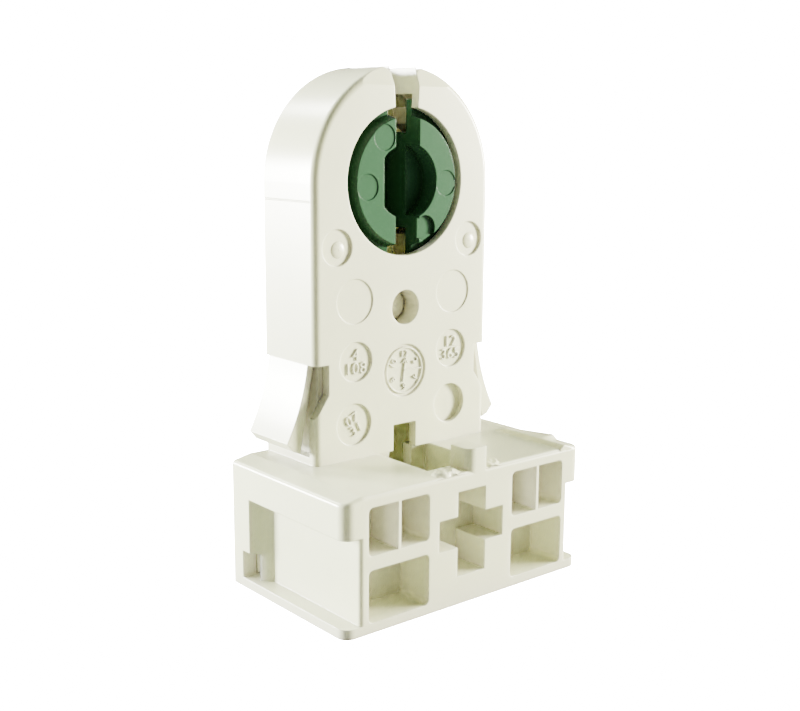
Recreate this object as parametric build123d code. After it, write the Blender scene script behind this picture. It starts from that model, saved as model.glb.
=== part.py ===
# Push-through holder for one end of a bi-pin fluorescent tube, with a quarter-turn rotor.
# Millimetres: X to the right, Y to the back, Z up. The tube's end comes to the front, at -Y.
# The origin is in the middle of the underside of the base block.
import os
from math import acos, cos, degrees, radians, sin, sqrt

from build123d import *

# Base block, which stays below the sheet
base_width = 36.4
base_depth = 22.0
base_height = 15.6
side_step = 2.1
band_height = 4.5
lip_height = 1.15
rail_depth = 3.4
base_corner = 1.3
base_edge = 0.5
base_wall = 1.2
seat_thickness = 1.35
side_wall = 1.1

# The left side of the seat slopes down, and the right side has a low rim that rises to a nose
shoulder_width = 2.5
shoulder_drop = 0.5

# Moulding pockets in the front of the base
pocket_width = 8.6
pocket_depth = 5.0
lower_pocket_height = 6.0
pocket_gap = 1.6
pocket_rib = 0.4
pocket_corner = 0.6

# Cross-shaped recess in the front of the base
cross_bar_width = 4.3
cross_foot = 3.4
cross_roof = 2.1
cross_arm_span = 9.9
cross_arm_height = 3.65
cross_arm_rise = 0.3
cross_depth = 5.0

# Slot in the seat, in front of the upright body, with a stop post at its front
slot_width = 8.1
slot_depth = 11.6
slot_setback = 3.15
slot_ledge = 1.2
slot_under = 0.8
post_width = 2.8
post_depth = 3.0
post_height = 2.6
post_right = 2.1
post_round = 1.2

# Snap window near the foot at each side
window_setback = 1.95
window_depth = 2.35
window_height = 3.35

# Upright body
body_width = 26.4
body_depth = 9.9
axis_height = 32.1
body_wall = 1.2
plate_thickness = 1.2
body_edge = 0.8
bevel_drop = 2.35
bevel_depth = 1.0
parting_drop = 2.0
parting_groove = 0.08

# Entry slot for the tube's pins
entry_width = 4.1
entry_throat = 3.3
entry_back = 1.6
entry_round = 0.75
cheek_wall = 1.2
cheek_height = 3.2

# Hole for the rotor, and the round marks that ejector pins and inserts leave on the plate
rotor_hole = 17.2
rotor_hole_edge = 0.25
mark_depth = 0.28
faint_mark_depth = 0.12
deep_mark_depth = 0.7

# Notch at the foot of the plate
notch_width = 3.5
notch_height = 3.2
notch_sink = 3.2

# Snap wings. The two shares say where the outer curve passes its middle
wing_middle_reach = 0.33
wing_middle_drop = 0.48
wing_top = 20.4
wing_reach = 2.9
wing_tip = 29.2
wing_bottom = 30.6
wing_root = 0.75
wing_tip_thickness = 1.5
wing_tip_bevel = 0.9
wing_tip_rise = 0.35
wing_foot_lean = 0.3
wing_inner_bow = 0.25
wing_gap = 0.25
wing_back = 0.6
curb_height = 0.9
slit_width = 1.95
slit_length = 3.5
slit_taper = 2.6
slit_edge = 0.15

# Rear cover and its peg
cover_thickness = 1.4
cover_clearance = 0.12
cover_edge = 0.3
guard_thickness = 0.9
guard_overlap = 1.5
peg_drop = 14.75
peg_hole = 4.15
peg_clearance = 0.12
peg_recess = 2.3
peg_dome = 0.8
boss_wall = 1.1
boss_length = 3.6
hook_thickness = 1.2
hook_catch = 1.6
hook_clearance = 0.3

# Rotor
rotor_proud = 0.25
rotor_gap = 0.8
rotor_draft = 0.4
flange_radius = 9.6
flange_thickness = 1.0
flange_clearance = 0.1
hub_radius = 5.9
bearing_fit = 0.05
bearing_wall = 0.95
bearing_height = 0.75
rotor_end_gap = 0.15
rotor_back = 0.5
pin_slot = 3.6
eye_radius = 4.45
eye_depth = 2.6
eye_flat = 3.5
eye_chamfer = 1.4
rotor_mark_radius = 1.5
rotor_mark_depth = 0.1
broken_mark_depth = 0.45

# Round traces of ejector pins and inserts: x and drop from the axis, radius, depth
paired_marks = [
    (10.0, 7.15, 2.1, mark_depth),
    (7.5, 13.45, 2.6, faint_mark_depth),
    (7.35, 20.5, 2.35, mark_depth),
]
single_marks = [
    (0, 22.4, 3.2, mark_depth),
    (-7.65, 27.9, 2.5, mark_depth),
    (7.15, 27.4, 2.45, deep_mark_depth),
]
rotor_marks = [
    (-3.4, -5.05, rotor_mark_radius, rotor_mark_depth),
    (-5.85, 0.5, rotor_mark_radius, rotor_mark_depth),
    (5.95, 0.3, rotor_mark_radius, rotor_mark_depth),
    (2.75, 5.5, rotor_mark_radius, broken_mark_depth),
]

# Contact strips
strip_thickness = 0.4
strip_width = 3.4
strip_front = 2.9
contact_radius = 7.4
contact_mouth = 3.3
flare_top = 8.4
flare_bottom = 8.6
tail_inset = 1.875
tail_drop = 16.0
tail_end = 3.0
strip_bend = 1.0
rest_clearance = 0.1
rest_width = 1.4

# Wire entries in the foot, and the clamp springs above them
entry_hole = 2.4
entry_offset = 1.6
entry_flare = 0.2
entry_flare_depth = 0.25
spring_thickness = 0.3
spring_width = 3.0
spring_clearance = 0.1
spring_top = 11.0
spring_foot = 4.5
spring_tongue_top = 9.0
spring_tip_gap = 0.5
spring_loop = 1.2
spring_radius = 0.48

# Places that follow from the sizes above
base_front = -base_depth / 2
base_rear = base_depth / 2
seat_z = base_height
half_base = base_width / 2
panel_x = half_base - side_step
plate_front = base_rear - body_depth
plate_back = plate_front + plate_thickness
cover_front = base_rear - cover_thickness
half_body = body_width / 2
inner_radius = half_body - body_wall
axis_z = seat_z + axis_height
ceiling_z = seat_z - seat_thickness
pocket_outer = panel_x - side_wall
pocket_inner = pocket_outer - pocket_width
slot_front = base_front + slot_setback
chamber_front = base_front + pocket_depth + base_wall
chamber_inner = slot_width / 2 + base_wall
chamber_outer = panel_x - side_wall
strip_x = inner_radius - tail_inset
strip_y0 = plate_front + strip_front
strip_y1 = strip_y0 + strip_width
strip_y = (strip_y0 + strip_y1) / 2
window_y1 = base_rear - window_setback
window_y0 = window_y1 - window_depth
rotor_face = plate_front - rotor_proud
flange_front = plate_back + flange_clearance
flange_back = flange_front + flange_thickness
rotor_rear = cover_front - rotor_end_gap


def front_plane(y):
    # A plane that faces the front, with its own x along X and its own y along Z
    return Plane(origin=(0, y, 0), x_dir=(1, 0, 0), z_dir=(0, -1, 0))


def prism(outline, y0, y1):
    # An outline drawn in X and Z, carried from depth y0 back to depth y1
    return extrude(front_plane(y0) * outline, amount=-(y1 - y0))


def block(x0, x1, y0, y1, z0, z1):
    return Pos((x0 + x1) / 2, (y0 + y1) / 2, (z0 + z1) / 2) * Box(x1 - x0, y1 - y0, z1 - z0)


def mirrored(shape):
    return shape.mirror(Plane.YZ)


def rod(x, z, radius, y0, y1):
    return prism(Pos(x, z) * Circle(radius), y0, y1)


def arch(radius, foot_z):
    # Straight sides with a half circle on top, about the tube's axis
    sides = Pos(0, (foot_z + axis_z) / 2) * Rectangle(2 * radius, axis_z - foot_z)
    return sides + Pos(0, axis_z) * Circle(radius)


def upright_edges(shape, y):
    # The edges along Z that lie at depth y
    return [e for e in shape.edges().filter_by(Axis.Z) if abs(e.center().Y - y) < 0.01]


def base_outside():
    # The band under the seat, its left shoulder sloped, over a narrower core with a lip and rear rails
    band = block(-half_base, half_base, base_front, base_rear, seat_z - band_height, seat_z)
    crease_x = shoulder_width - half_base
    slope = Polyline(
        (crease_x, seat_z),
        (-half_base, seat_z - shoulder_drop),
        (-half_base, seat_z),
        close=True,
    )
    band -= prism(make_face(slope), base_front, base_rear)
    band = fillet(upright_edges(band, base_front), base_corner)
    high = [e for e in band.edges() if e.center().Z > seat_z - shoulder_drop - base_edge]
    outer = [e for e in high if e.center().Y < base_rear - 0.01 and abs(e.center().X - crease_x) > 0.01]
    band = fillet(outer, base_edge)
    lip = block(-half_base, half_base, base_front, base_rear, 0, lip_height)
    lip = fillet(upright_edges(lip, base_front), base_corner)
    core = block(-panel_x, panel_x, base_front, base_rear, 0, seat_z - base_edge)
    core = fillet(upright_edges(core, base_front), base_edge)
    return band + lip + core + side_rail() + mirrored(side_rail())


def side_rail():
    # The rear of the side is full width, and flares out to it at 45 degrees
    rail_front = base_rear - rail_depth
    outline = Polyline(
        (panel_x - base_edge, rail_front - side_step),
        (panel_x, rail_front - side_step),
        (half_base, rail_front),
        (half_base, base_rear),
        (panel_x - base_edge, base_rear),
        close=True,
    )
    return extrude(make_face(outline), amount=seat_z - band_height + base_edge)


def pocket(x0, x1, z0, z1):
    outline = Pos((x0 + x1) / 2, (z0 + z1) / 2) * RectangleRounded(x1 - x0, z1 - z0, pocket_corner)
    return prism(outline, base_front - 1, base_front + pocket_depth)


def front_pockets():
    # The upper pocket is halved by a thin upright rib
    lower_top = base_wall + lower_pocket_height
    middle = (pocket_inner + pocket_outer) / 2
    rib = block(middle - pocket_rib / 2, middle + pocket_rib / 2, base_front - 2, base_rear, 0, seat_z)
    lower = pocket(pocket_inner, pocket_outer, base_wall, lower_top)
    upper = pocket(pocket_inner, pocket_outer, lower_top + pocket_gap, ceiling_z) - rib
    return [lower, upper, mirrored(lower), mirrored(upper)]


def cross_recess():
    # The bar stands between the foot and the seat's roof, and the arms cross it near its middle
    top = seat_z - cross_roof
    middle = (cross_foot + top) / 2
    bar = Pos(0, middle) * Rectangle(cross_bar_width, top - cross_foot)
    arms = Pos(0, middle + cross_arm_rise) * Rectangle(cross_arm_span, cross_arm_height)
    return prism(bar + arms, base_front - 1, base_front + cross_depth)


def seat_slot():
    # A deep well that runs on under the plate, with a shallow ledge at its front
    half = slot_width / 2
    ledge = block(-half, half, slot_front, plate_front, seat_z - slot_ledge, seat_z + 1)
    well = block(-half, half, chamber_front, plate_front + slot_under, seat_z - slot_depth, seat_z)
    return [ledge, well]


def stop_post():
    post = block(post_right - post_width, post_right, base_front, base_front + post_depth,
                 seat_z - base_edge, seat_z + post_height)
    front = sorted(upright_edges(post, base_front), key=lambda e: e.center().X)
    post = fillet([front[0]], post_round)
    return post


def terminal_chambers():
    side = block(chamber_inner, chamber_outer, chamber_front, base_rear + 1, base_wall, ceiling_z)
    middle = block(-chamber_inner, chamber_inner, plate_back + base_wall, base_rear + 1, base_wall, ceiling_z)
    throat = block(-inner_radius, inner_radius, plate_back + base_wall, base_rear + 1,
                   base_wall + 1, seat_z + 1)
    return [side, mirrored(side), middle, throat]


def snap_window():
    return block(chamber_outer - 1, half_base + 1, window_y0, window_y1,
                 lip_height, lip_height + window_height)


def wire_entries():
    # Round holes with a short flare at the underside
    radius = entry_hole / 2
    holes = []
    for side in (-1, 1):
        for offset in (-entry_offset, entry_offset):
            place = Pos(side * strip_x + offset, strip_y)
            holes.append(place * Cylinder(radius, 3 * base_wall))
            holes.append(place * Cone(radius + 2 * entry_flare, radius, 2 * entry_flare_depth))
    return holes


def body_outside():
    body = prism(arch(half_body, seat_z - 0.5), plate_front, base_rear)
    outline = body.faces().sort_by(Axis.Y)[0].edges()
    rounded = [e for e in outline if e.center().Z > seat_z]
    body = fillet(rounded, body_edge)
    bevel = Polyline(
        (plate_front - 1, axis_z + half_body - bevel_drop),
        (plate_front, axis_z + half_body - bevel_drop),
        (plate_front + bevel_depth, axis_z + half_body + 0.1),
        (plate_front - 1, axis_z + half_body + 0.1),
        close=True,
    )
    wedge = extrude(Plane.YZ * make_face(bevel), amount=half_body, both=True)
    return body - wedge


def body_cavity():
    # The inside is open at the back, and stays solid beside the entry slot
    hollow = prism(arch(inner_radius, seat_z), plate_back, base_rear + 1)
    half = entry_width / 2 + cheek_wall
    cheeks = block(-half, half, plate_front, cover_front - cover_clearance,
                   axis_z + half_body - cheek_height, axis_z + half_body)
    return hollow - cheeks


def entry_slot():
    # Slightly narrower at the rotor than at the crown
    low = axis_z + rotor_hole / 2 - 1
    outline = Polyline(
        (-entry_width / 2, axis_z + half_body + 1),
        (entry_width / 2, axis_z + half_body + 1),
        (entry_throat / 2, low),
        (-entry_throat / 2, low),
        close=True,
    )
    slot = prism(make_face(outline), plate_front - 1, base_rear - entry_back)
    return [slot, entry_mouth(), mirrored(entry_mouth())]


def entry_mouth():
    # Rounds the edge between a side of the slot and the crown, tangent to both
    side = entry_width / 2
    x = side + entry_round
    z = axis_z + sqrt((half_body - entry_round) ** 2 - x ** 2)
    reach = x * half_body / (half_body - entry_round)
    corner = Pos((side + reach) / 2, z + entry_round) * Rectangle(reach - side, 2 * entry_round)
    return prism(corner - Pos(x, z) * Circle(entry_round), plate_front - 1, base_rear - entry_back)


def round_marks(face, marks):
    # Shallow round recesses in a front face
    return [rod(x, axis_z - drop, radius, face - 1, face + depth) for x, drop, radius, depth in marks]


def slit_cut():
    # The slit between the plate and the wing, seen from the front
    top = axis_z - wing_top
    outline = Polyline(
        (half_body - slit_width, top),
        (half_body + 1, top),
        (half_body + 1, top - slit_length - slit_taper),
        (half_body - slit_edge, top - slit_length - slit_taper),
        (half_body - slit_width, top - slit_length),
        close=True,
    )
    return prism(make_face(outline), plate_front - 1, plate_back)


def side_window():
    # The side wall is cut away where the wing stands
    return block(inner_radius - 0.5, half_body + 1, plate_back, base_rear + 1,
                 seat_z + curb_height, axis_z - wing_top)


def snap_wing():
    # A springy tongue that hangs from the side wall and flares outwards
    top = axis_z - wing_top
    tip = axis_z - wing_tip
    bottom = axis_z - wing_bottom
    outer_mid = (half_body + wing_reach * wing_middle_reach, top - (wing_tip - wing_top) * wing_middle_drop)
    inner_top = half_body - wing_root
    inner_low = half_body + wing_reach - wing_tip_thickness
    inner_mid = ((inner_top + inner_low) / 2 - wing_inner_bow, (top + tip) / 2)
    toe = (half_body + wing_reach - wing_tip_bevel, bottom + wing_tip_rise)
    heel = (inner_low - wing_foot_lean, bottom)
    outline = (
        ThreePointArc((half_body, top), outer_mid, (half_body + wing_reach, tip))
        + Line((half_body + wing_reach, tip), toe)
        + Line(toe, heel)
        + ThreePointArc(heel, inner_mid, (inner_top, top))
        + Line((inner_top, top), (inner_top, top + body_wall))
        + Line((inner_top, top + body_wall), (half_body, top + body_wall))
        + Line((half_body, top + body_wall), (half_body, top))
    )
    return prism(make_face(outline), plate_back + wing_gap, base_rear - wing_back)


def foot_notch():
    # Opens the plate's foot, and below it the wall between the seat's well and the inside
    half = notch_width / 2
    doorway = block(-half, half, plate_front - 1, plate_back + 0.1,
                    seat_z - slot_ledge, seat_z + notch_height)
    sill = block(-half, half, plate_front, plate_back + base_wall + 0.1, seat_z - notch_sink, seat_z + 0.1)
    return doorway + sill


def peg_boss():
    return rod(0, axis_z - peg_drop, peg_hole / 2 + boss_wall, plate_back - 0.1, plate_back + boss_length)


def strip_rest(y0, y1):
    # An upright rib that bears on the edge of a contact strip
    low = seat_z + notch_height
    high = axis_z - tail_drop - strip_bend
    return block(strip_x - rest_width / 2, strip_x + rest_width / 2, y0, y1, low, high)


def parting_grooves():
    z = axis_z - parting_drop
    groove = block(half_body - parting_groove, half_body + 1, plate_front + body_edge, base_rear,
                   z - parting_groove, z + parting_groove)
    return [groove, mirrored(groove)]


def housing():
    solid = base_outside() + body_outside()
    solid -= terminal_chambers()
    solid -= body_cavity()
    solid -= [side_window(), mirrored(side_window()), slit_cut(), mirrored(slit_cut())]
    solid += [snap_wing(), mirrored(snap_wing()), peg_boss()]
    rest = strip_rest(plate_back - 0.1, strip_y0 - rest_clearance)
    solid += [rest, mirrored(rest)]
    solid -= seat_slot()
    solid += stop_post()
    left_marks = [(-x, drop, radius, depth) for x, drop, radius, depth in paired_marks]
    solid -= round_marks(plate_front, paired_marks + left_marks + single_marks)
    solid -= front_pockets() + wire_entries() + parting_grooves()
    solid -= [cross_recess(), snap_window(), mirrored(snap_window())] + entry_slot()
    solid -= rod(0, axis_z, rotor_hole / 2, plate_front - 1, plate_back + 0.2)
    rim = Pos(0, plate_front, axis_z) * Rot(90, 0, 0) * Cone(
        rotor_hole / 2 - rotor_hole_edge, rotor_hole / 2 + rotor_hole_edge, 2 * rotor_hole_edge)
    solid -= rim
    solid -= rod(0, axis_z - peg_drop, peg_hole / 2, plate_front - 1, plate_back + boss_length + 1)
    return solid - foot_notch()


def rear_cover():
    upper = arch(inner_radius - cover_clearance, base_wall + cover_clearance)
    half = chamber_outer - cover_clearance
    low = base_wall + cover_clearance
    high = ceiling_z - cover_clearance
    lower = Pos(0, (low + high) / 2) * Rectangle(2 * half, high - low)
    plate = prism(upper + lower, cover_front, base_rear)
    plate = chamfer(plate.faces().sort_by(Axis.Y)[-1].edges(), cover_edge)
    peg_radius = peg_hole / 2 - peg_clearance
    tip = plate_front + peg_recess
    peg = rod(0, axis_z - peg_drop, peg_radius, tip, cover_front + 0.1)
    peg = fillet(peg.faces().sort_by(Axis.Y)[0].edges(), peg_dome)
    ring_y = cover_front - bearing_height
    ring = rod(0, axis_z, hub_radius + bearing_fit + bearing_wall, ring_y, cover_front + 0.1)
    ring -= rod(0, axis_z, hub_radius + bearing_fit, ring_y - 1, cover_front)
    rest = strip_rest(strip_y1 + rest_clearance, cover_front + 0.1)
    cover = plate + peg + ring + rest + mirrored(rest) + side_guard() + mirrored(side_guard())
    return cover + snap_hook() + mirrored(snap_hook())


def side_guard():
    # A wall that keeps fingers off the contact strip behind the snap wing
    outer = inner_radius - cover_clearance
    return block(outer - guard_thickness, outer, plate_back + cover_clearance, cover_front + 0.1,
                 seat_z + cover_clearance, axis_z - wing_top + guard_overlap)


def snap_hook():
    # An arm beside the side wall, with a ramped catch that stands in the snap window
    inside = chamber_outer - cover_clearance
    low = lip_height + hook_clearance
    high = lip_height + window_height - hook_clearance
    back = window_y1 - hook_clearance
    front = window_y0 + hook_clearance
    outline = Polyline(
        (inside - hook_thickness, cover_front + 0.1),
        (inside, cover_front + 0.1),
        (inside, back),
        (inside + hook_catch, back),
        (inside, front),
        (inside - hook_thickness, front),
        close=True,
    )
    return Pos(0, 0, low) * extrude(make_face(outline), amount=high - low)


def eye_outline():
    # Round at the right, cut flat with two chamfers at the left
    half = pin_slot / 2
    corner = eye_flat - half
    cut = Polyline(
        (-eye_flat, -eye_radius + eye_chamfer),
        (-eye_flat + corner, -eye_radius + eye_chamfer / 3),
        (half, -2 * eye_radius),
        (2 * eye_radius, -2 * eye_radius),
        (2 * eye_radius, 2 * eye_radius),
        (half, 2 * eye_radius),
        (-eye_flat + corner, eye_radius - eye_chamfer / 3),
        (-eye_flat, eye_radius - eye_chamfer),
        close=True,
    )
    return Circle(eye_radius) & make_face(cut)


def rotor():
    # A tapered face in the plate's hole, a flange behind the plate and a hub in the cover's ring
    foot_radius = rotor_hole / 2 - rotor_gap
    plateau = Pos(0, (rotor_face + flange_front) / 2, axis_z) * Rot(90, 0, 0) * Cone(
        foot_radius, foot_radius - rotor_draft, flange_front - rotor_face)
    body = plateau + rod(0, axis_z, flange_radius, flange_front, flange_back)
    body += rod(0, axis_z, hub_radius, flange_back - 0.1, rotor_rear)
    half = pin_slot / 2
    body -= block(-half, half, rotor_face - 1, rotor_rear - rotor_back,
                  axis_z - 2 * flange_radius, axis_z + 2 * flange_radius)
    body -= prism(Pos(0, axis_z) * eye_outline(), rotor_face - 1, rotor_face + eye_depth)
    return body - round_marks(rotor_face, rotor_marks)


def ribbon(path, thickness, y0, y1):
    # A strip of even thickness along a path drawn in X and Z
    outline = offset(path, amount=thickness / 2, side=Side.BOTH)
    return prism(make_face(outline.edges()), y0, y1)


def contact_strip():
    # Two flared ends guide the pins on to a spring arc, and the tail runs down to the terminals
    angle = degrees(acos(contact_mouth / contact_radius))
    height = sqrt(contact_radius ** 2 - contact_mouth ** 2)
    arc = CenterArc((0, axis_z), contact_radius, -angle, 2 * angle)
    flare = Line((contact_mouth, axis_z + flare_top), (contact_mouth, axis_z + height))
    tail = FilletPolyline(
        (contact_mouth, axis_z - height),
        (contact_mouth, axis_z - flare_bottom),
        (strip_x, axis_z - tail_drop),
        (strip_x, tail_end),
        radius=strip_bend,
    )
    path = Wire([flare.edge(), arc.edge()] + list(tail.edges()))
    return ribbon(path, strip_thickness, strip_y0, strip_y1)


def clamp_spring(side):
    # A bent leaf: one leg on the wall of the chamber, and a tongue that leans to the strip
    wall_x = chamber_outer if side > 0 else chamber_inner
    leg_x = wall_x - side * (spring_clearance + spring_thickness / 2)
    tip_x = strip_x + side * (strip_thickness / 2 + spring_tip_gap + spring_thickness / 2)
    path = FilletPolyline(
        (leg_x, spring_top),
        (leg_x, spring_foot),
        (leg_x - side * spring_loop, spring_foot),
        (tip_x, spring_tongue_top),
        radius=spring_radius,
    )
    middle = spring_width / 2
    return ribbon(path, spring_thickness, strip_y - middle, strip_y + middle)


def save(name, shape):
    solids = shape.solids()
    if len(solids) == 1:
        shape = solids[0]
    export_step(shape, f"parts/{name}.step")


os.makedirs("parts", exist_ok=True)
save("housing", housing())
save("rear_cover", rear_cover())
save("rotor", rotor())
save("contact_right", contact_strip())
save("contact_left", mirrored(contact_strip()))
for name, side in (("outer", 1), ("inner", -1)):
    save(f"clamp_spring_right_{name}", clamp_spring(side))
    save(f"clamp_spring_left_{name}", mirrored(clamp_spring(side)))
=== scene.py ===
import math

import bpy
import numpy as np
from mathutils import Matrix, Vector


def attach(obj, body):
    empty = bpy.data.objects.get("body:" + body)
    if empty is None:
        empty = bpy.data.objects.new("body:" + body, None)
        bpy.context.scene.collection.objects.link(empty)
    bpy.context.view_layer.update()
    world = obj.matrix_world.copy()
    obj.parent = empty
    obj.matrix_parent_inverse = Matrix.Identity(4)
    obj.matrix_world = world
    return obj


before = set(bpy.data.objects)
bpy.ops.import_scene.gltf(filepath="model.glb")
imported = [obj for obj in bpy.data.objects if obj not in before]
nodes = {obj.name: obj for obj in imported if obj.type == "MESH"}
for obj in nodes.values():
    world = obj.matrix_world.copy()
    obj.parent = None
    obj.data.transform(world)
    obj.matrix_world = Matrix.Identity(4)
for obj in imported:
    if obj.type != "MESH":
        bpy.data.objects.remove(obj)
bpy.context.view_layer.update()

mm = 0.001
print("frame loaded:", len(nodes), "nodes")


# Helpers

def linear(hexColour):
    # an sRGB hex value as linear light, the way Blender's sockets want it
    channels = [int(hexColour[i:i + 2], 16) / 255 for i in (1, 3, 5)]
    return tuple(c / 12.92 if c <= 0.04045 else ((c + 0.055) / 1.055) ** 2.4 for c in channels) + (1.0,)


def addNode(tree, kind, settings=None, inputs=None, links=None):
    # settings are the node's own values, inputs its socket values, links socket to (node, output)
    node = tree.nodes.new(kind)
    for name, value in (settings or {}).items():
        setattr(node, name, value)
    for name, value in (inputs or {}).items():
        node.inputs[name].default_value = value
    for name, (source, output) in (links or {}).items():
        tree.links.new(source.outputs[output], node.inputs[name])
    return node


def newMaterial(name):
    material = bpy.data.materials.new(name)
    material.use_nodes = True
    material.node_tree.nodes.clear()
    return material, material.node_tree


# Materials

# most of a noise texture's values lie between these two
noiseLow, noiseHigh = 0.3, 0.7


def paintedRecessShade(tree, settings):
    # painted shade: where walls close in within the reach, the open colour turns to a darker painted
    # shade colour that stands in for the shade falling in recesses
    occlusion = addNode(tree, "ShaderNodeAmbientOcclusion",
                        settings={"samples": settings["paintedShadeSamples"]},
                        inputs={"Distance": settings["paintedShadeReach"] * mm})
    paintedShadeShare = addNode(tree, "ShaderNodeMapRange",
                    inputs={"From Min": settings["paintedShadeFrom"], "From Max": settings["paintedShadeTo"],
                            "To Min": 1.0, "To Max": 0.0},
                    links={"Value": (occlusion, "AO")})
    return addNode(tree, "ShaderNodeMix", settings={"data_type": "RGBA"},
                   inputs={6: linear(settings["colour"]), 7: linear(settings["paintedShadeColour"])},
                   links={0: (paintedShadeShare, "Result")})


def mouldedSkin(tree, place, settings):
    # a grain that moves the normal and the roughness a little, over softened edges; the real
    # grain is a few hundredths of a millimetre, and it is drawn coarser so that it shows
    grain = addNode(tree, "ShaderNodeTexNoise",
                    inputs={"Scale": 1 / (settings["grainSize"] * mm), "Detail": 3.0, "Roughness": 0.6},
                    links={"Vector": (place, "Object")})
    soft = addNode(tree, "ShaderNodeBevel", settings={"samples": 6},
                   inputs={"Radius": settings["edgeRound"] * mm})
    bump = addNode(tree, "ShaderNodeBump",
                   inputs={"Strength": settings["grainStrength"],
                           "Distance": settings["grainHeight"] * mm},
                   links={"Height": (grain, "Fac"), "Normal": (soft, "Normal")})
    rough = addNode(tree, "ShaderNodeMapRange",
                    inputs={"From Min": noiseLow, "From Max": noiseHigh,
                            "To Min": settings["roughness"] - settings["roughSpread"],
                            "To Max": settings["roughness"] + settings["roughSpread"]},
                    links={"Value": (grain, "Fac")})
    return bump, rough


# lengths in millimetres
ivory = {
    "colour": "#E2E6BC",
    # the painted shade colour for recesses, and the reach, occlusion range and samples over which it is
    # painted in
    "paintedShadeColour": "#D0CFBA",
    "paintedShadeReach": 6.0,
    "paintedShadeFrom": 0.1,
    "paintedShadeTo": 0.9,
    "paintedShadeSamples": 16,
    "roughness": 0.3,
    "roughSpread": 0.015,
    "ior": 1.53,
    "grainSize": 0.35,
    "grainHeight": 0.05,
    "grainStrength": 0.012,
    "edgeRound": 0.16,
    "flowSize": 9.0,
    "flowDark": 0.97,
    "flowLight": 1.02,
    "subsurface": 0.13,
    "glowRadius": (3.0, 3.0, 2.8),
}


def mouldedIvory(settings):
    # glass-filled PBT, moulded: a satin skin with a faint grain and slow changes of shade where
    # the melt flowed, and a soft glow where light passes through its thin walls
    material, tree = newMaterial("mouldedIvoryPbt")
    place = addNode(tree, "ShaderNodeTexCoord")
    bump, rough = mouldedSkin(tree, place, settings)
    # painted shade: the colour is darkened and greyed where walls close in, standing in for shade in
    # recesses
    colour = paintedRecessShade(tree, settings)
    flow = addNode(tree, "ShaderNodeTexNoise",
                   inputs={"Scale": 1 / (settings["flowSize"] * mm), "Detail": 2.0},
                   links={"Vector": (place, "Object")})
    shade = addNode(tree, "ShaderNodeMapRange",
                    inputs={"From Min": noiseLow, "From Max": noiseHigh,
                            "To Min": settings["flowDark"], "To Max": settings["flowLight"]},
                    links={"Value": (flow, "Fac")})
    tint = addNode(tree, "ShaderNodeMix",
                   settings={"data_type": "RGBA", "blend_type": "MULTIPLY"}, inputs={0: 1.0},
                   links={6: (colour, 2), 7: (shade, "Result")})
    shader = addNode(tree, "ShaderNodeBsdfPrincipled",
                     inputs={"IOR": settings["ior"], "Subsurface Weight": settings["subsurface"],
                             "Subsurface Radius": tuple(r * mm for r in settings["glowRadius"]),
                             "Subsurface Scale": 1.0},
                     links={"Base Color": (tint, 2), "Roughness": (rough, "Result"),
                            "Normal": (bump, "Normal")})
    addNode(tree, "ShaderNodeOutputMaterial", links={"Surface": (shader, "BSDF")})
    return material


green = {
    "colour": "#33553A",
    # the painted shade colour for recesses, and the reach, occlusion range and samples over which it is
    # painted in
    "paintedShadeColour": "#152F1A",
    "paintedShadeReach": 3.0,
    "paintedShadeFrom": 0.3,
    "paintedShadeTo": 0.85,
    "paintedShadeSamples": 8,
    "roughness": 0.22,
    "roughSpread": 0.015,
    "specular": 0.05,
    "ior": 1.53,
    "grainSize": 0.3,
    "grainHeight": 0.05,
    "grainStrength": 0.03,
    "edgeRound": 0.14,
}


def mouldedGreen(settings):
    # coloured PBT, moulded: opaque and satin, with painted shade darkening it in its recesses
    material, tree = newMaterial("mouldedGreenPbt")
    place = addNode(tree, "ShaderNodeTexCoord")
    bump, rough = mouldedSkin(tree, place, settings)
    # painted shade: darker green where walls close in
    colour = paintedRecessShade(tree, settings)
    shader = addNode(tree, "ShaderNodeBsdfPrincipled",
                     inputs={"IOR": settings["ior"], "Specular IOR Level": settings["specular"]},
                     links={"Base Color": (colour, 2), "Roughness": (rough, "Result"),
                            "Normal": (bump, "Normal")})
    addNode(tree, "ShaderNodeOutputMaterial", links={"Surface": (shader, "BSDF")})
    return material


strip = {
    "bronze": "#D2CBC2",
    "steel": "#B9B8B4",
    "roughness": 0.45,
    "smoother": 0.08,
    "rougher": 0.12,
    "lineWidth": 0.12,
    "lineLength": 25.0,
    "lineHeight": 0.02,
    "lineStrength": 0.1,
}


def rolledStrip(name, colour, settings):
    # thin rolled strip, stamped: fine lines along the rolling direction stretch its highlights;
    # the real lines are a few hundredths of a millimetre wide, and they are drawn coarser
    material, tree = newMaterial(name)
    place = addNode(tree, "ShaderNodeTexCoord")
    stretch = addNode(tree, "ShaderNodeMapping",
                      inputs={"Scale": (1.0, 1 / (settings["lineWidth"] * mm),
                                        1 / (settings["lineLength"] * mm))},
                      links={"Vector": (place, "Object")})
    lines = addNode(tree, "ShaderNodeTexNoise", inputs={"Scale": 1.0, "Detail": 2.0},
                    links={"Vector": (stretch, "Vector")})
    bump = addNode(tree, "ShaderNodeBump",
                   inputs={"Strength": settings["lineStrength"], "Distance": settings["lineHeight"] * mm},
                   links={"Height": (lines, "Fac")})
    rough = addNode(tree, "ShaderNodeMapRange",
                    inputs={"To Min": settings["roughness"] - settings["smoother"],
                            "To Max": settings["roughness"] + settings["rougher"]},
                    links={"Value": (lines, "Fac")})
    shader = addNode(tree, "ShaderNodeBsdfPrincipled",
                     inputs={"Base Color": linear(colour), "Metallic": 1.0},
                     links={"Roughness": (rough, "Result"), "Normal": (bump, "Normal")})
    addNode(tree, "ShaderNodeOutputMaterial", links={"Surface": (shader, "BSDF")})
    return material


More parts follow.
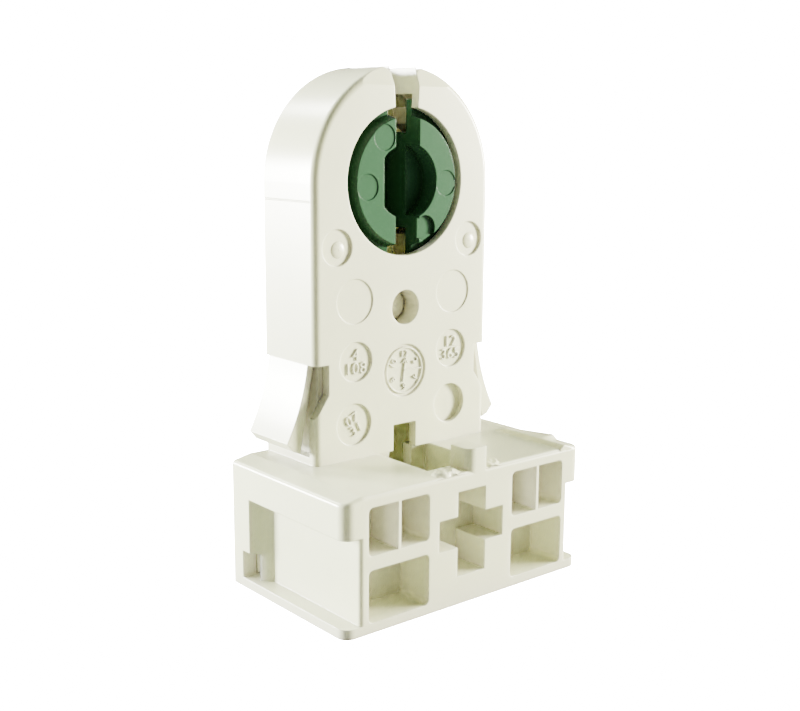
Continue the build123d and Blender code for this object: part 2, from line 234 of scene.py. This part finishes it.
ivoryPlastic = mouldedIvory(ivory)
greenPlastic = mouldedGreen(green)
bronzeStrip = rolledStrip("rolledBronzeStrip", strip["bronze"], strip)
steelStrip = rolledStrip("rolledSpringSteel", strip["steel"], strip)

finishes = {"housing": ivoryPlastic, "rear_cover": ivoryPlastic, "rotor": greenPlastic}

for name, node in nodes.items():
    metal = bronzeStrip if name.startswith("contact") else steelStrip
    node.data.materials.clear()
    node.data.materials.append(finishes.get(name, metal))
print("materials set")


# Fine relief on the front plate

plate = {
    # the depth of the plate's face, the height of the lamp's axis, the depth of the round marks,
    # and how far the relief stands up from their floor and is sunk into it
    "front": 1.1,
    "axis": 47.7,
    "markDepth": 0.28,
    "relief": 0.2,
    "sunk": 0.05,
}


def newPiece(name, points, faces, material, body="holder", slot="ivory_plastic", smoothUnder=40):
    # points in millimetres; edges that turn by less than smoothUnder degrees are shaded smooth
    mesh = bpy.data.meshes.new(name)
    mesh.from_pydata((np.asarray(points) * mm).tolist(), [], faces)
    mesh.materials.append(material)
    mesh.update()
    mesh.shade_smooth()
    mesh.set_sharp_from_angle(angle=math.radians(smoothUnder))
    piece = bpy.data.objects.new(name, mesh)
    bpy.context.scene.collection.objects.link(piece)
    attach(piece, body)
    return piece


def gridFaces(rows, columns, closedRows=False, closedColumns=False):
    # quads between neighbours of a rows by columns grid, numbered row by row
    r = np.arange(rows if closedRows else rows - 1)
    c = np.arange(columns if closedColumns else columns - 1)
    a, b = np.meshgrid(r, c, indexing="ij")
    a2, b2 = (a + 1) % rows, (b + 1) % columns
    quads = np.stack([a * columns + b, a2 * columns + b, a2 * columns + b2, a * columns + b2], axis=-1)
    return quads.reshape(-1, 4).tolist()


def joinParts(parts):
    # one list of points and one of faces from several
    points, faces, start = [], [], 0
    for some, quads in parts:
        points.append(np.asarray(some))
        faces += [[start + i for i in quad] for quad in quads]
        start += len(some)
    return np.concatenate(points), faces


digitStyle = {"spacing": 1.1, "lineSpacing": 0.8, "curveSteps": 4}


def raisedWords(words, size, x, z, turn, height, back):
    # plain sans digits stood on the plate: the text's x and y become X and Z, its depth runs to -Y
    curve = bpy.data.curves.new("words", "FONT")
    curve.body = words
    curve.size = size
    curve.space_character = digitStyle["spacing"]
    curve.space_line = digitStyle["lineSpacing"]
    curve.align_x = "CENTER"
    curve.align_y = "CENTER"
    curve.extrude = height / 2
    curve.resolution_u = digitStyle["curveSteps"]
    thing = bpy.data.objects.new("words", curve)
    bpy.context.scene.collection.objects.link(thing)
    mesh = bpy.data.meshes.new_from_object(thing)
    flat = np.empty(len(mesh.vertices) * 3)
    mesh.vertices.foreach_get("co", flat)
    flat = flat.reshape(-1, 3)
    faces = [list(face.vertices) for face in mesh.polygons]
    bpy.data.objects.remove(thing)
    a = math.radians(turn)
    across = flat[:, 0] * math.cos(a) - flat[:, 1] * math.sin(a)
    up = flat[:, 0] * math.sin(a) + flat[:, 1] * math.cos(a)
    points = np.stack([x + across, back - height / 2 - flat[:, 2], z + up], axis=1)
    return points, faces


ridge = {
    # half widths of a ridge's foot and top, as shares of its width
    "foot": 0.5,
    "top": 0.28,
}


def ringRidge(x, z, radius, width, height, back, steps=72):
    # a ridge of trapezoid section carried round a circle in the plate's plane
    angle = np.linspace(0, 2 * math.pi, steps, endpoint=False)[:, None]
    offset = np.array([-ridge["foot"], -ridge["top"], ridge["top"], ridge["foot"]])[None, :] * width
    rise = np.array([0, 1, 1, 0])[None, :] * height
    across = x + (radius + offset) * np.sin(angle)
    up = z + (radius + offset) * np.cos(angle)
    points = np.stack([across, back - rise + 0 * angle, up], axis=-1)
    return points.reshape(-1, 3), gridFaces(steps, 4, closedRows=True)


def bar(start, end, width, height, back):
    # a straight ridge of the same section between two points of the plate's plane
    start, end = np.array(start), np.array(end)
    along = (end - start) / np.linalg.norm(end - start)
    side = np.array([-along[1], along[0]]) * width
    corners = [(share, place) for share in (ridge["foot"], ridge["top"])
               for place in (start - side * share, end - side * share,
                             end + side * share, start + side * share)]
    points = [(p[0], back - (height if share == ridge["top"] else 0), p[1]) for share, p in corners]
    faces = [[0, 1, 5, 4], [1, 2, 6, 5], [2, 3, 7, 6], [3, 0, 4, 7], [4, 5, 6, 7]]
    return points, faces


def dome(x, z, radius, height, back, rings=9, steps=48, lastAngle=0.06):
    # rises by height * sqrt(1 - (r / radius) ** 2) over a disc, closed by one face at its pole
    r = radius * np.sin(np.linspace(math.pi / 2, lastAngle, rings))[:, None]
    angle = np.linspace(0, 2 * math.pi, steps, endpoint=False)[None, :]
    rise = height * np.sqrt(1 - (r / radius) ** 2)
    points = np.stack([x + r * np.sin(angle), back - rise + 0 * angle, z + r * np.cos(angle)], axis=-1)
    faces = gridFaces(rings, steps, closedColumns=True)
    faces.append(list(range((rings - 1) * steps, rings * steps)))
    return points.reshape(-1, 3), faces


numbers = {
    # two rows of digits, their size, x, drop from the lamp's axis and turn in degrees
    "rows": [
        ("4\n108", 2.0, -7.35, 20.55, 0),
        ("12\n365", 1.95, 7.35, 20.5, 0),
        ("07\n31", 1.75, -7.55, 27.95, 26),
    ],
}

dial = {
    "x": 0.0,
    "drop": 22.4,
    "ring": 2.75,
    "ringWidth": 0.3,
    "digitSize": 1.15,
    "digitRing": 1.95,
    "digits": 6,
    "arrow": 1.45,
    "arrowTurn": 8.0,
    "barb": 0.7,
    "barbTurn": 143.0,
    "lineWidth": 0.22,
    "crossBar": 2.6,
}

bumps = {"x": 10.0, "drop": 7.15, "radius": 1.0, "height": 0.22, "lean": 0.25}

# the rounded tip of the cover's peg, seen in its hole
pegTip = {"x": 0.0, "drop": 14.75, "radius": 1.9, "height": 1.1, "back": 4.0}


def plateRelief():
    # digits, dial and bumps rise from the floor of their round marks, the peg's tip from its hole
    back = plate["front"] + plate["markDepth"] + plate["sunk"]
    height = plate["relief"] + plate["sunk"]
    rows = [raisedWords(words, size, x, plate["axis"] - drop, turn, height, back)
            for words, size, x, drop, turn in numbers["rows"]]
    newPiece("mouldNumbers", *joinParts(rows), ivoryPlastic)
    newPiece("mouldDateDial", *joinParts(dateDial(height, back)), ivoryPlastic)
    domes = [dome(side * bumps["x"] + bumps["lean"], plate["axis"] - bumps["drop"] - bumps["lean"],
                  bumps["radius"], bumps["height"] + plate["sunk"], back) for side in (-1, 1)]
    newPiece("ejectorBumps", *joinParts(domes), ivoryPlastic)
    tip = dome(pegTip["x"], plate["axis"] - pegTip["drop"], pegTip["radius"], pegTip["height"],
               pegTip["back"])
    newPiece("pegTip", *tip, ivoryPlastic)


def dateDial(height, back):
    # a ring, even numbers round it, and an arrow with a cross bar through the middle
    x, z, width = dial["x"], plate["axis"] - dial["drop"], dial["lineWidth"]

    def spot(radius, degrees):
        angle = math.radians(degrees)
        return x + radius * math.sin(angle), z + radius * math.cos(angle)

    parts = [ringRidge(x, z, dial["ring"], dial["ringWidth"], height, back)]
    for i in range(dial["digits"]):
        turn = 360 * i / dial["digits"]
        number = str(2 * (i or dial["digits"]))
        place = spot(dial["digitRing"], turn)
        parts.append(raisedWords(number, dial["digitSize"], *place, -turn, height, back))
    tip, tail = (spot(reach, dial["arrowTurn"]) for reach in (dial["arrow"], -dial["arrow"]))
    parts.append(bar(tail, tip, width, height, back))
    for side in (-1, 1):
        turn = math.radians(dial["arrowTurn"] + side * dial["barbTurn"])
        end = (tip[0] + dial["barb"] * math.sin(turn), tip[1] + dial["barb"] * math.cos(turn))
        parts.append(bar(tip, end, width, height, back))
    parts.append(bar((x, z), (x + dial["crossBar"], z), width, height, back))
    return parts


plateRelief()
print("relief made")


# Low rim along the right of the seat, and torn webs beside the foot of the stop post

rim = {
    # across: x of its foot, shoulder, crest and outside; along: y of its front and rear ends;
    # the crest grows from crestFrom to its nose at noseAt, and falls off over noseLength
    "seat": 15.6,
    "foot": 14.7,
    "shoulder": 15.3,
    "crest": 17.7,
    "outside": 18.12,
    "corner": 1.1,
    "outsideDrop": 0.28,
    "front": -10.97,
    "frontDrop": 0.6,
    "rear": 0.9,
    "rearFade": 1.6,
    "innerHeight": 0.42,
    "noseAt": -6.7,
    "noseLength": 0.9,
    "crestHeight": 0.55,
    "crestFrom": -1.0,
    "crestAhead": -0.05,
    "tuckIn": 0.02,
    "tuckDown": 0.1,
}


def seatRim(settings, innerColumns=10, topColumns=17, outerColumns=5, rows=90):
    # height over the seat: a smooth step up to the shoulder, then a straight run to a crest that
    # grows towards its nose and drops off ahead of it; the outer and front rows go down into the base
    s = settings
    across = np.concatenate([np.linspace(s["foot"], s["shoulder"], innerColumns),
                             np.linspace(s["shoulder"], s["crest"], topColumns)[1:],
                             np.linspace(s["crest"], s["outside"], outerColumns)[1:]])
    along = np.linspace(s["rear"], s["front"], rows)
    x, y = np.meshgrid(across, along, indexing="ij")
    step = np.clip((x - s["foot"]) / (s["shoulder"] - s["foot"]), 0, 1)
    step = step * step * (3 - 2 * step)
    share = np.clip((x - s["shoulder"]) / (s["crest"] - s["shoulder"]), 0, 1)
    grow = np.clip((s["crestFrom"] - y) / (s["crestFrom"] - s["noseAt"]), 0, 1) * s["crestHeight"]
    fall = np.clip((s["noseAt"] - y) / s["noseLength"], 0, 1)
    crest = grow + (s["crestAhead"] - grow) * fall * fall * (3 - 2 * fall)
    inner = s["innerHeight"] * np.clip((s["rear"] - y) / s["rearFade"], 0, 1)
    height = inner * step * (1 - share) + crest * share
    outer = np.clip((x - s["crest"]) / (s["outside"] - s["crest"]), 0, 1)
    z = s["seat"] + height * (1 - outer ** 2) - s["outsideDrop"] * outer ** 2
    # the outside follows the base's rounded front corner
    turn = np.clip(s["corner"] + s["front"] - y, 0, s["corner"])
    inset = s["corner"] - np.sqrt(s["corner"] ** 2 - turn ** 2)
    x = x - inset * share
    points = np.stack([x, y, z], axis=-1)
    skirt = points[:, -1:, :] - np.array([0, 0, s["frontDrop"]])
    points = np.concatenate([points, skirt], axis=1)
    edge = points[:1] - np.array([s["tuckIn"], 0, s["tuckDown"]])
    points = np.concatenate([edge, points], axis=0)
    faces = [face[::-1] for face in gridFaces(points.shape[0], points.shape[1])]
    return points.reshape(-1, 3), faces


scraps = {
    # left and right: x from and to, y from and to, height, seed of the random draws
    "left": (-5.1, -1.1, -10.95, -8.5, 0.8, 3),
    "right": (1.9, 4.9, -10.95, -9.1, 0.8, 8),
    "buried": 0.12,
    "reach": 1.25,
    "lumpBite": 0.45,
    "steepness": 3.5,
    "lump": 0.6,
    "crumb": 0.3,
    "crust": 0.3,
    "lumpShare": 0.5,
    "crumbShare": 0.2,
}


def valueNoise(u, v, rows, columns, dice):
    # random heights on a coarse grid, blended straight between its points
    coarse = dice.random((rows + 1, columns + 1))
    a = np.minimum((u * rows).astype(int), rows - 1)
    b = np.minimum((v * columns).astype(int), columns - 1)
    fu, fv = u * rows - a, v * columns - b
    return (coarse[a, b] * (1 - fu) * (1 - fv) + coarse[a + 1, b] * fu * (1 - fv)
            + coarse[a, b + 1] * (1 - fu) * fv + coarse[a + 1, b + 1] * fu * fv)


def raggedScrap(x0, x1, y0, y1, height, seed, nx=60, ny=60):
    # a crust over an oval: a falloff from its middle, eaten into by lumps, times a height that is
    # a constant plus a share of the lumps and a share of finer crumbs
    dice = np.random.default_rng(seed)
    u, v = np.meshgrid(np.linspace(0, 1, nx), np.linspace(0, 1, ny), indexing="ij")
    lumps = valueNoise(u, v, int((x1 - x0) / scraps["lump"]), int((y1 - y0) / scraps["lump"]), dice)
    crumbs = valueNoise(u, v, int((x1 - x0) / scraps["crumb"]), int((y1 - y0) / scraps["crumb"]), dice)
    away = np.sqrt((2 * u - 1) ** 2 + (2 * v - 1) ** 2)
    left = scraps["reach"] - away - scraps["lumpBite"] * lumps
    fringe = np.clip(scraps["steepness"] * left, 0, 1)
    uneven = scraps["crust"] + scraps["lumpShare"] * lumps + scraps["crumbShare"] * crumbs
    z = rim["seat"] - scraps["buried"] + fringe * uneven * height
    points = np.stack([x0 + (x1 - x0) * u, y0 + (y1 - y0) * v, z], axis=-1)
    return points.reshape(-1, 3), gridFaces(nx, ny)


newPiece("seatRim", *seatRim(rim), ivoryPlastic)
webs = joinParts([raggedScrap(*scraps["left"]), raggedScrap(*scraps["right"])])
newPiece("tornWebs", *webs, ivoryPlastic, smoothUnder=30)
print("rim and torn webs made")


# Floor, light and camera

# glow is the radiance that lights the part, seen is the one that the lens meets, and so the paper
# and the backdrop come out white without washing light over the part
studio = {
    "floorColour": "#8A8A87",
    "floorReach": 1.2,
    "floorRoughness": 0.8,
    "floorGlow": 0.0,
    "floorSeen": 60.0,
    "worldColour": "#FFFFFF",
    "worldGlow": 0.14,
    "worldSeen": 60.0,
}


def buildFloor(settings):
    # a flat square, at height 0 everywhere
    reach = settings["floorReach"]
    corners = np.array([(-reach, -reach, 0), (reach, -reach, 0), (reach, reach, 0), (-reach, reach, 0)])
    mesh = bpy.data.meshes.new("floor")
    mesh.from_pydata(corners.tolist(), [], [(0, 1, 2, 3)])
    floor = bpy.data.objects.new("floor", mesh)
    bpy.context.scene.collection.objects.link(floor)
    # matt paper: pale to the lens, and it throws back only a little light at the part
    material, tree = newMaterial("palePaper")
    ray = addNode(tree, "ShaderNodeLightPath")
    glow = addNode(tree, "ShaderNodeMapRange",
                   inputs={"To Min": settings["floorGlow"], "To Max": settings["floorSeen"]},
                   links={"Value": (ray, "Is Camera Ray")})
    shader = addNode(tree, "ShaderNodeBsdfPrincipled",
                     inputs={"Base Color": linear(settings["floorColour"]),
                             "Roughness": settings["floorRoughness"],
                             "Emission Color": linear(settings["worldColour"])},
                     links={"Emission Strength": (glow, "Result")})
    addNode(tree, "ShaderNodeOutputMaterial", links={"Surface": (shader, "BSDF")})
    mesh.materials.append(material)


def buildWorld(settings):
    # an even backdrop on every side
    world = bpy.data.worlds.new("studioWorld")
    world.use_nodes = True
    tree = world.node_tree
    tree.nodes.clear()
    ray = addNode(tree, "ShaderNodeLightPath")
    glow = addNode(tree, "ShaderNodeMapRange",
                   inputs={"To Min": settings["worldGlow"], "To Max": settings["worldSeen"]},
                   links={"Value": (ray, "Is Camera Ray")})
    back = addNode(tree, "ShaderNodeBackground", inputs={"Color": linear(settings["worldColour"])},
                   links={"Strength": (glow, "Result")})
    addNode(tree, "ShaderNodeOutputWorld", links={"Surface": (back, "Background")})
    bpy.context.scene.world = world


# azimuth and elevation in degrees, distance and size in metres, watts
lamps = {
    "leftKey": {"azimuth": -139, "elevation": 5, "distance": 0.55, "size": 0.14, "power": 25.0,
                "colour": "#FFFFFF"},
    "rightFill": {"azimuth": 60, "elevation": 6, "distance": 0.6, "size": 0.14, "power": 24.0,
                  "colour": "#FFFAEE"},
    "frontEdges": {"azimuth": 76, "elevation": 46, "distance": 0.6, "size": 0.07, "power": 4.0,
                   "colour": "#FFFFFF"},
    "leftEdges": {"azimuth": -165, "elevation": 40, "distance": 0.6, "size": 0.07, "power": 4.0,
                  "colour": "#FFFFFF"},
}

lampAim = (0, 0, 0.03)


def buildLamps(settings):
    # square soft boxes round the part, all turned to the same point
    target = Vector(lampAim)
    for name, lamp in settings.items():
        a, e = math.radians(lamp["azimuth"]), math.radians(lamp["elevation"])
        out = Vector((math.sin(a) * math.cos(e), -math.cos(a) * math.cos(e), math.sin(e)))
        light = bpy.data.lights.new(name, "AREA")
        light.energy = lamp["power"]
        light.size = lamp["size"]
        light.color = linear(lamp["colour"])[:3]
        thing = bpy.data.objects.new(name, light)
        bpy.context.scene.collection.objects.link(thing)
        thing.location = target + out * lamp["distance"]
        thing.rotation_euler = (-out).to_track_quat("-Z", "Y").to_euler()


# the photograph's camera: degrees, its place in millimetres, its focal length in pixels
view = {
    "azimuth": -39.723,
    "elevation": 11.056,
    "roll": 0.388,
    "place": (-87.82, -103.64, 53.81),
    "focalPixels": 1164.85,
    "imageWidth": 800,
    "sensor": 36.0,
    "clipStart": 5.0,
}


def buildCamera(settings):
    # the camera's axes are x right, y up and z out of the picture, turned by the roll
    a, e, r = (math.radians(settings[k]) for k in ("azimuth", "elevation", "roll"))
    out = Vector((math.sin(a) * math.cos(e), -math.cos(a) * math.cos(e), math.sin(e)))
    right = Vector((math.cos(a), math.sin(a), 0))
    up = out.cross(right)
    right2 = right * math.cos(r) + up * math.sin(r)
    up2 = up * math.cos(r) - right * math.sin(r)
    lens = bpy.data.cameras.new("photoCamera")
    lens.sensor_width = settings["sensor"]
    lens.lens = settings["focalPixels"] / settings["imageWidth"] * settings["sensor"]
    lens.clip_start = settings["clipStart"] * mm
    camera = bpy.data.objects.new("photoCamera", lens)
    bpy.context.scene.collection.objects.link(camera)
    turn = Matrix((right2, up2, out)).transposed().to_4x4()
    turn.translation = Vector(settings["place"]) * mm
    camera.matrix_world = turn
    bpy.context.scene.camera = camera


buildFloor(studio)
buildWorld(studio)
buildLamps(lamps)
buildCamera(view)
print("studio set")
